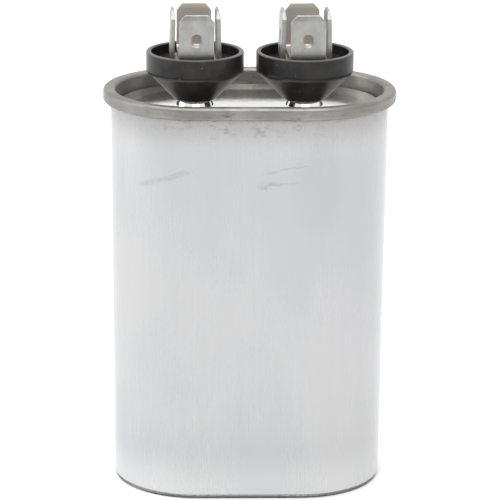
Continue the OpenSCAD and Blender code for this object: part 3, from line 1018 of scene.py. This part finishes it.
class CAPACITOR_PG_studio(bpy.types.PropertyGroup):
    """Camera, floor and lights."""

    distance: length_property(
        "Distance", "Distance from the camera to the middle of the case", 0.52642
    )
    aim_height: length_property(
        "Aim Height", "Height above the floor that the camera turns about", 45.2 * MM
    )
    azimuth: angle_property("Azimuth", "Turn of the camera round from the front", -1.831)
    elevation: angle_property("Elevation", "Height of the camera above the horizon", 16.289)
    roll: angle_property("Roll", "Tilt of the camera", 0.488)
    lens: FloatProperty(name="Lens", description="Focal length in millimetres", default=204.35)
    shift_x: FloatProperty(
        name="Shift X", description="Sideways shift of the view", default=0.00314
    )
    shift_y: FloatProperty(
        name="Shift Y", description="Upward shift of the view", default=-0.01934
    )
    floor_colour: colour_property("Floor", "Plain pale floor", (0.93, 0.93, 0.93))
    room_colour: colour_property("Room", "Pale walls round the table", (1.0, 1.0, 1.0))
    shade_colour: colour_property(
        "Shade", "Dim side of the room behind the camera", (0.045, 0.042, 0.04)
    )
    side_colour: colour_property("Side", "Cooler side of the room", (0.45, 0.50, 0.58))


# Operators


def given(name):
    """One of the property groups of the scene."""
    return getattr(bpy.context.scene, "capacitor_" + name)


def dress(node, material):
    """Gives a CAD node its finish."""
    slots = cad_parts[node].data.materials
    slots.clear()
    slots.append(material)


def keep(piece, node):
    """Makes a finished piece stand for a CAD node."""
    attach(piece, "root")
    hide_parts(node)


class CAPACITOR_OT_case(bpy.types.Operator):
    """Sweep the drawn case round its oval and give it its satin finish"""

    bl_idname = "capacitor.case"
    bl_label = "Drawn Case"

    def execute(self, context):
        case = given("case")
        half = case.thickness / 2
        flange_in = FLANGE - case.wall
        seam_foot = CASE_TOP + case.lid_sheet - case.seam_height
        hook = seam_foot + case.lid_sheet + case.seam_gap
        section = rounded_line(
            [
                (-half, 0.0, 0.0),
                (0.0, 0.0, case.bottom_radius),
                (0.0, CASE_TOP - case.wall, 0.0),
                (flange_in, CASE_TOP - case.wall, 0.0),
                (flange_in, hook, 0.0),
                (FLANGE, hook, 0.0),
                (FLANGE, CASE_TOP, case.fold_radius),
                (-case.wall, CASE_TOP, case.fold_radius),
                (-case.wall, case.floor, 0.0),
                (-half, case.floor, 0.0),
            ],
            SECTION_STEP,
        )
        shell = grow(
            "case_shell",
            oval_sweep_tree(),
            section,
            {
                "Half Straight": (case.width - case.thickness) / 2,
                "End Radius": half,
                "Turn Steps": case.turn_steps,
                "Straight Steps": case.straight_steps,
                "Unevenness": case.unevenness,
                "Wave Size": case.wave_size,
                "Even Below": case.even_below,
                "Wavy From": case.wavy_from,
                "Wavy To": CASE_TOP - case.wavy_to,
                "Even Above": CASE_TOP - case.even_above,
                "Seed": case.seed,
                "Material": case_aluminium(given("finish")),
            },
            SMOOTH_CASE,
        )
        keep(shell, "can")
        return {"FINISHED"}


class CAPACITOR_OT_lid(bpy.types.Operator):
    """Finish the seamed lid: handled rim and bright sunk centre"""

    bl_idname = "capacitor.lid"
    bl_label = "Seamed Lid"

    def execute(self, context):
        dress("lid", lid_tinplate(given("finish"), given("case")))
        return {"FINISHED"}


class CAPACITOR_OT_insulators(bpy.types.Operator):
    """Finish the two moulded insulators and their seals"""

    bl_idname = "capacitor.insulators"
    bl_label = "Insulators"

    def execute(self, context):
        phenolic = black_phenolic(given("finish"))
        rubber = seal_rubber()
        for side in SIDES:
            dress(side + "_cup", phenolic)
            dress(side + "_gasket", rubber)
        return {"FINISHED"}


def strip_stations(flat_half, bend_length, length, edge, corner_height, coin_height):
    """Stations from end to end of a strip, closer in its bends and towards its tips."""
    half = flat_half + bend_length + length
    steps = [flat_half * k / FLAT_STEPS for k in range(1, FLAT_STEPS + 1)]
    steps += [flat_half + bend_length * k / BEND_STEPS for k in range(1, BEND_STEPS + 1)]
    steps += [half - drop for drop in (*BLADE_STATIONS, corner_height, coin_height)]
    steps += [half - coin_height * k / COIN_STEPS for k in range(COIN_STEPS - 1, 0, -1)]
    stations = [(s, 0.0, 1.0) for s in sorted(steps)]
    for k in range(END_STEPS + 1):
        angle = math.pi / 2 * k / END_STEPS
        drawn_in = edge * (1 - math.cos(angle))
        stations.append((half - edge * (1 - math.sin(angle)), drawn_in, 1.0))
    stations.append((half, edge, 0.0))
    stations = sorted(set(stations), key=lambda s: (s[0], -s[2], s[1]))
    return [(-s, d, o) for s, d, o in reversed(stations)] + [(0.0, 0.0, 1.0)] + stations


class CAPACITOR_OT_blades(bpy.types.Operator):
    """Bend the four blade strips, two at each terminal"""

    bl_idname = "capacitor.blades"
    bl_label = "Blade Strips"

    def execute(self, context):
        blades = given("blades")
        tree = blade_strip_tree()
        tinned = blade_metal(given("finish"))
        for side in SIDES:
            centre = middle_of(side + "_rivet")
            turn = blades.left_turn if side == "left" else blades.right_turn
            for kind, base, span, lean, quarter in (
                ("cross", CROSS_BASE, blades.outer_span, 0.0, 0.0),
                ("side", SIDE_BASE, blades.inner_span, blades.side_lean, math.pi / 2),
            ):
                bend_out = blades.bend_radius + blades.thickness
                flat_half = span / 2 - bend_out
                angle = math.pi / 2 + lean
                length = (BLADE_TIP - base - bend_out) / math.cos(lean)
                middle_radius = blades.bend_radius + blades.thickness / 2
                strip = grow(
                    f"{side}_{kind}_strip",
                    tree,
                    strip_stations(
                        flat_half,
                        middle_radius * angle,
                        length,
                        blades.edge_radius,
                        blades.corner_height,
                        blades.coin_height,
                    ),
                    {
                        "Width": blades.width,
                        "Thickness": blades.thickness,
                        "Edge Radius": blades.edge_radius,
                        "Flat Half": flat_half,
                        "Bend Radius": blades.bend_radius,
                        "Bend Angle": angle,
                        "Length": length,
                        "Corner Width": blades.corner_width,
                        "Corner Height": blades.corner_height,
                        "Coin Height": blades.coin_height,
                        "Coin Depth": blades.coin_depth,
                        "Latch Diameter": blades.latch_diameter,
                        "Latch Drop": blades.latch_drop,
                        "Latch Edge": blades.latch_edge,
                        "Latch Margin": blades.latch_margin,
                        "Rivet Hole": blades.rivet_hole,
                        "Base": (centre.x, centre.y, base),
                        "Turn": (0.0, 0.0, turn + quarter),
                        "Material": tinned,
                    },
                    SMOOTH_BLADE,
                )
                keep(strip, f"{side}_{kind}_blades")
        return {"FINISHED"}


class CAPACITOR_OT_rivets(bpy.types.Operator):
    """Finish the two terminal rivets and the solder lugs under the lid"""

    bl_idname = "capacitor.rivets"
    bl_label = "Rivets and Lugs"

    def execute(self, context):
        steel = rivet_metal(given("finish"))
        copper = lead_metal()
        for side in SIDES:
            dress(side + "_rivet", steel)
            dress(side + "_lug", copper)
        for node in ("top_lead", "side_lead"):
            dress(node, copper)
        return {"FINISHED"}


class CAPACITOR_OT_inside(bpy.types.Operator):
    """Finish the winding, its sprayed ends, the wrap, the trays and the bushings"""

    bl_idname = "capacitor.inside"
    bl_label = "Inside the Can"

    def execute(self, context):
        dress("winding", film_roll(given("case")))
        dress("wrap", wrap_film())
        zinc = sprayed_zinc()
        for node in ("top_spray", "bottom_spray"):
            dress(node, zinc)
        plastic = tray_plastic()
        for node in ("bottom_tray", "top_tray", "left_bushing", "right_bushing"):
            dress(node, plastic)
        return {"FINISHED"}


def stage_floor(colour):
    """A plain pale floor, wide enough for every view."""
    material, g = new_finish("pale_floor")
    here = millimetres(g)
    tone = grain(g, here, 300.0, (1, 1, 1), 1.0, 0.5)
    shade = g.mix(tone, tuple(c * 0.995 for c in colour), tuple(colour))
    matt = g.add("ShaderNodeBsdfPrincipled", {}, {"Base Color": shade, "Roughness": 0.7})
    close_finish(g, matt)
    mesh = bpy.data.meshes.new("floor")
    work = bmesh.new()
    bmesh.ops.create_grid(work, x_segments=4, y_segments=4, size=4.0)
    bmesh.ops.translate(work, verts=work.verts, vec=(0.0, 0.0, -0.05 * MM))
    work.to_mesh(mesh)
    work.free()
    mesh.materials.append(material)
    floor = bpy.data.objects.new("floor", mesh)
    bpy.context.scene.collection.objects.link(floor)


def stage_room(studio):
    """Pale walls all round, and a dim zone low down in front for the metal to mirror."""
    world = bpy.data.worlds.new("room")
    world.use_nodes = True
    world.node_tree.nodes.clear()
    g = Graph(world.node_tree)
    way = g.add("ShaderNodeTexCoord", {}, {}, "Generated")
    x, y, z = g.split(way)
    ahead = (-y).rise(0.5, 0.9)
    low = (1 - z.rise(0.33, 0.50)) * z.rise(-0.12, 0.02)
    side = x.rise(0.55, 0.8) * y.rise(-0.1, 0.3) * (1 - z.rise(0.2, 0.5))
    seen = g.mix(ahead * low, tuple(studio.room_colour), tuple(studio.shade_colour))
    seen = g.mix(side * 0.35, seen, tuple(studio.side_colour))
    straight = g.add("ShaderNodeLightPath", {}, {}, "Is Camera Ray")
    seen = g.mix(straight, seen, tuple(studio.room_colour))
    light = g.add("ShaderNodeBackground", {}, {"Color": seen, "Strength": 1.0})
    g.add("ShaderNodeOutputWorld", {}, {"Surface": light})
    bpy.context.scene.world = world


def soft_box(name, place, size, power):
    """A soft area light turned towards the object."""
    light = bpy.data.lights.new(name, "AREA")
    light.shape = "RECTANGLE"
    light.size, light.size_y = size
    light.energy = power
    box = bpy.data.objects.new(name, light)
    box.location = place
    box.rotation_euler = (LIGHTS_AIM - Vector(place)).to_track_quat("-Z", "Y").to_euler()
    bpy.context.scene.collection.objects.link(box)


def stage_camera(studio):
    """The camera, turned about the middle of the case."""
    camera = bpy.data.cameras.new("camera")
    camera.sensor_width = 36.0
    camera.lens = studio.lens
    camera.shift_x, camera.shift_y = studio.shift_x, studio.shift_y
    camera.clip_start, camera.clip_end = 0.01, 50.0
    holder = bpy.data.objects.new("camera", camera)
    bpy.context.scene.collection.objects.link(holder)
    a, e = studio.azimuth, studio.elevation
    back = Vector((math.sin(a) * math.cos(e), -math.cos(a) * math.cos(e), math.sin(e)))
    right = Vector((math.cos(a), math.sin(a), 0.0))
    up = back.cross(right)
    turn = Matrix.Rotation(studio.roll, 3, back)
    axes = Matrix((turn @ right, turn @ up, back)).transposed().to_4x4()
    place = Vector((0, 0, studio.aim_height)) + back * studio.distance
    holder.matrix_world = Matrix.Translation(place) @ axes
    bpy.context.scene.camera = holder


class CAPACITOR_OT_stage(bpy.types.Operator):
    """Set the pale floor, the soft light and the camera"""

    bl_idname = "capacitor.stage"
    bl_label = "Studio Stage"

    def execute(self, context):
        studio = given("studio")
        stage_floor(studio.floor_colour)
        stage_room(studio)
        for name, (place, size, power) in LIGHTS.items():
            soft_box(name, place, size, power)
        stage_camera(studio)
        context.scene.view_settings.view_transform = "Standard"
        return {"FINISHED"}


class CAPACITOR_PT_panel(bpy.types.Panel):
    """Lists the steps that dress the capacitor"""

    bl_idname = "CAPACITOR_PT_panel"
    bl_label = "Motor Run Capacitor"
    bl_space_type = "VIEW_3D"
    bl_region_type = "UI"
    bl_category = "Capacitor"

    def draw(self, context):
        column = self.layout.column(align=True)
        for operator in OPERATORS:
            column.operator(operator.bl_idname)
        for name in GROUPS:
            box = self.layout.box()
            box.label(text=name.capitalize())
            group = given(name)
            for setting in GROUPS[name].__annotations__:
                box.prop(group, setting)


GROUPS = {
    "case": CAPACITOR_PG_case,
    "blades": CAPACITOR_PG_blades,
    "finish": CAPACITOR_PG_finish,
    "studio": CAPACITOR_PG_studio,
}
OPERATORS = (
    CAPACITOR_OT_stage,
    CAPACITOR_OT_case,
    CAPACITOR_OT_lid,
    CAPACITOR_OT_insulators,
    CAPACITOR_OT_blades,
    CAPACITOR_OT_rivets,
    CAPACITOR_OT_inside,
)
CLASSES = (*GROUPS.values(), *OPERATORS, CAPACITOR_PT_panel)


def register():
    for cls in CLASSES:
        bpy.utils.register_class(cls)
    for name, group in GROUPS.items():
        setattr(bpy.types.Scene, "capacitor_" + name, PointerProperty(type=group))


def unregister():
    for name in GROUPS:
        delattr(bpy.types.Scene, "capacitor_" + name)
    for cls in reversed(CLASSES):
        bpy.utils.unregister_class(cls)


def main():
    register()
    for operator in OPERATORS:
        group, name = operator.bl_idname.split(".")
        getattr(getattr(bpy.ops, group), name)()


if __name__ == "__main__":
    main()
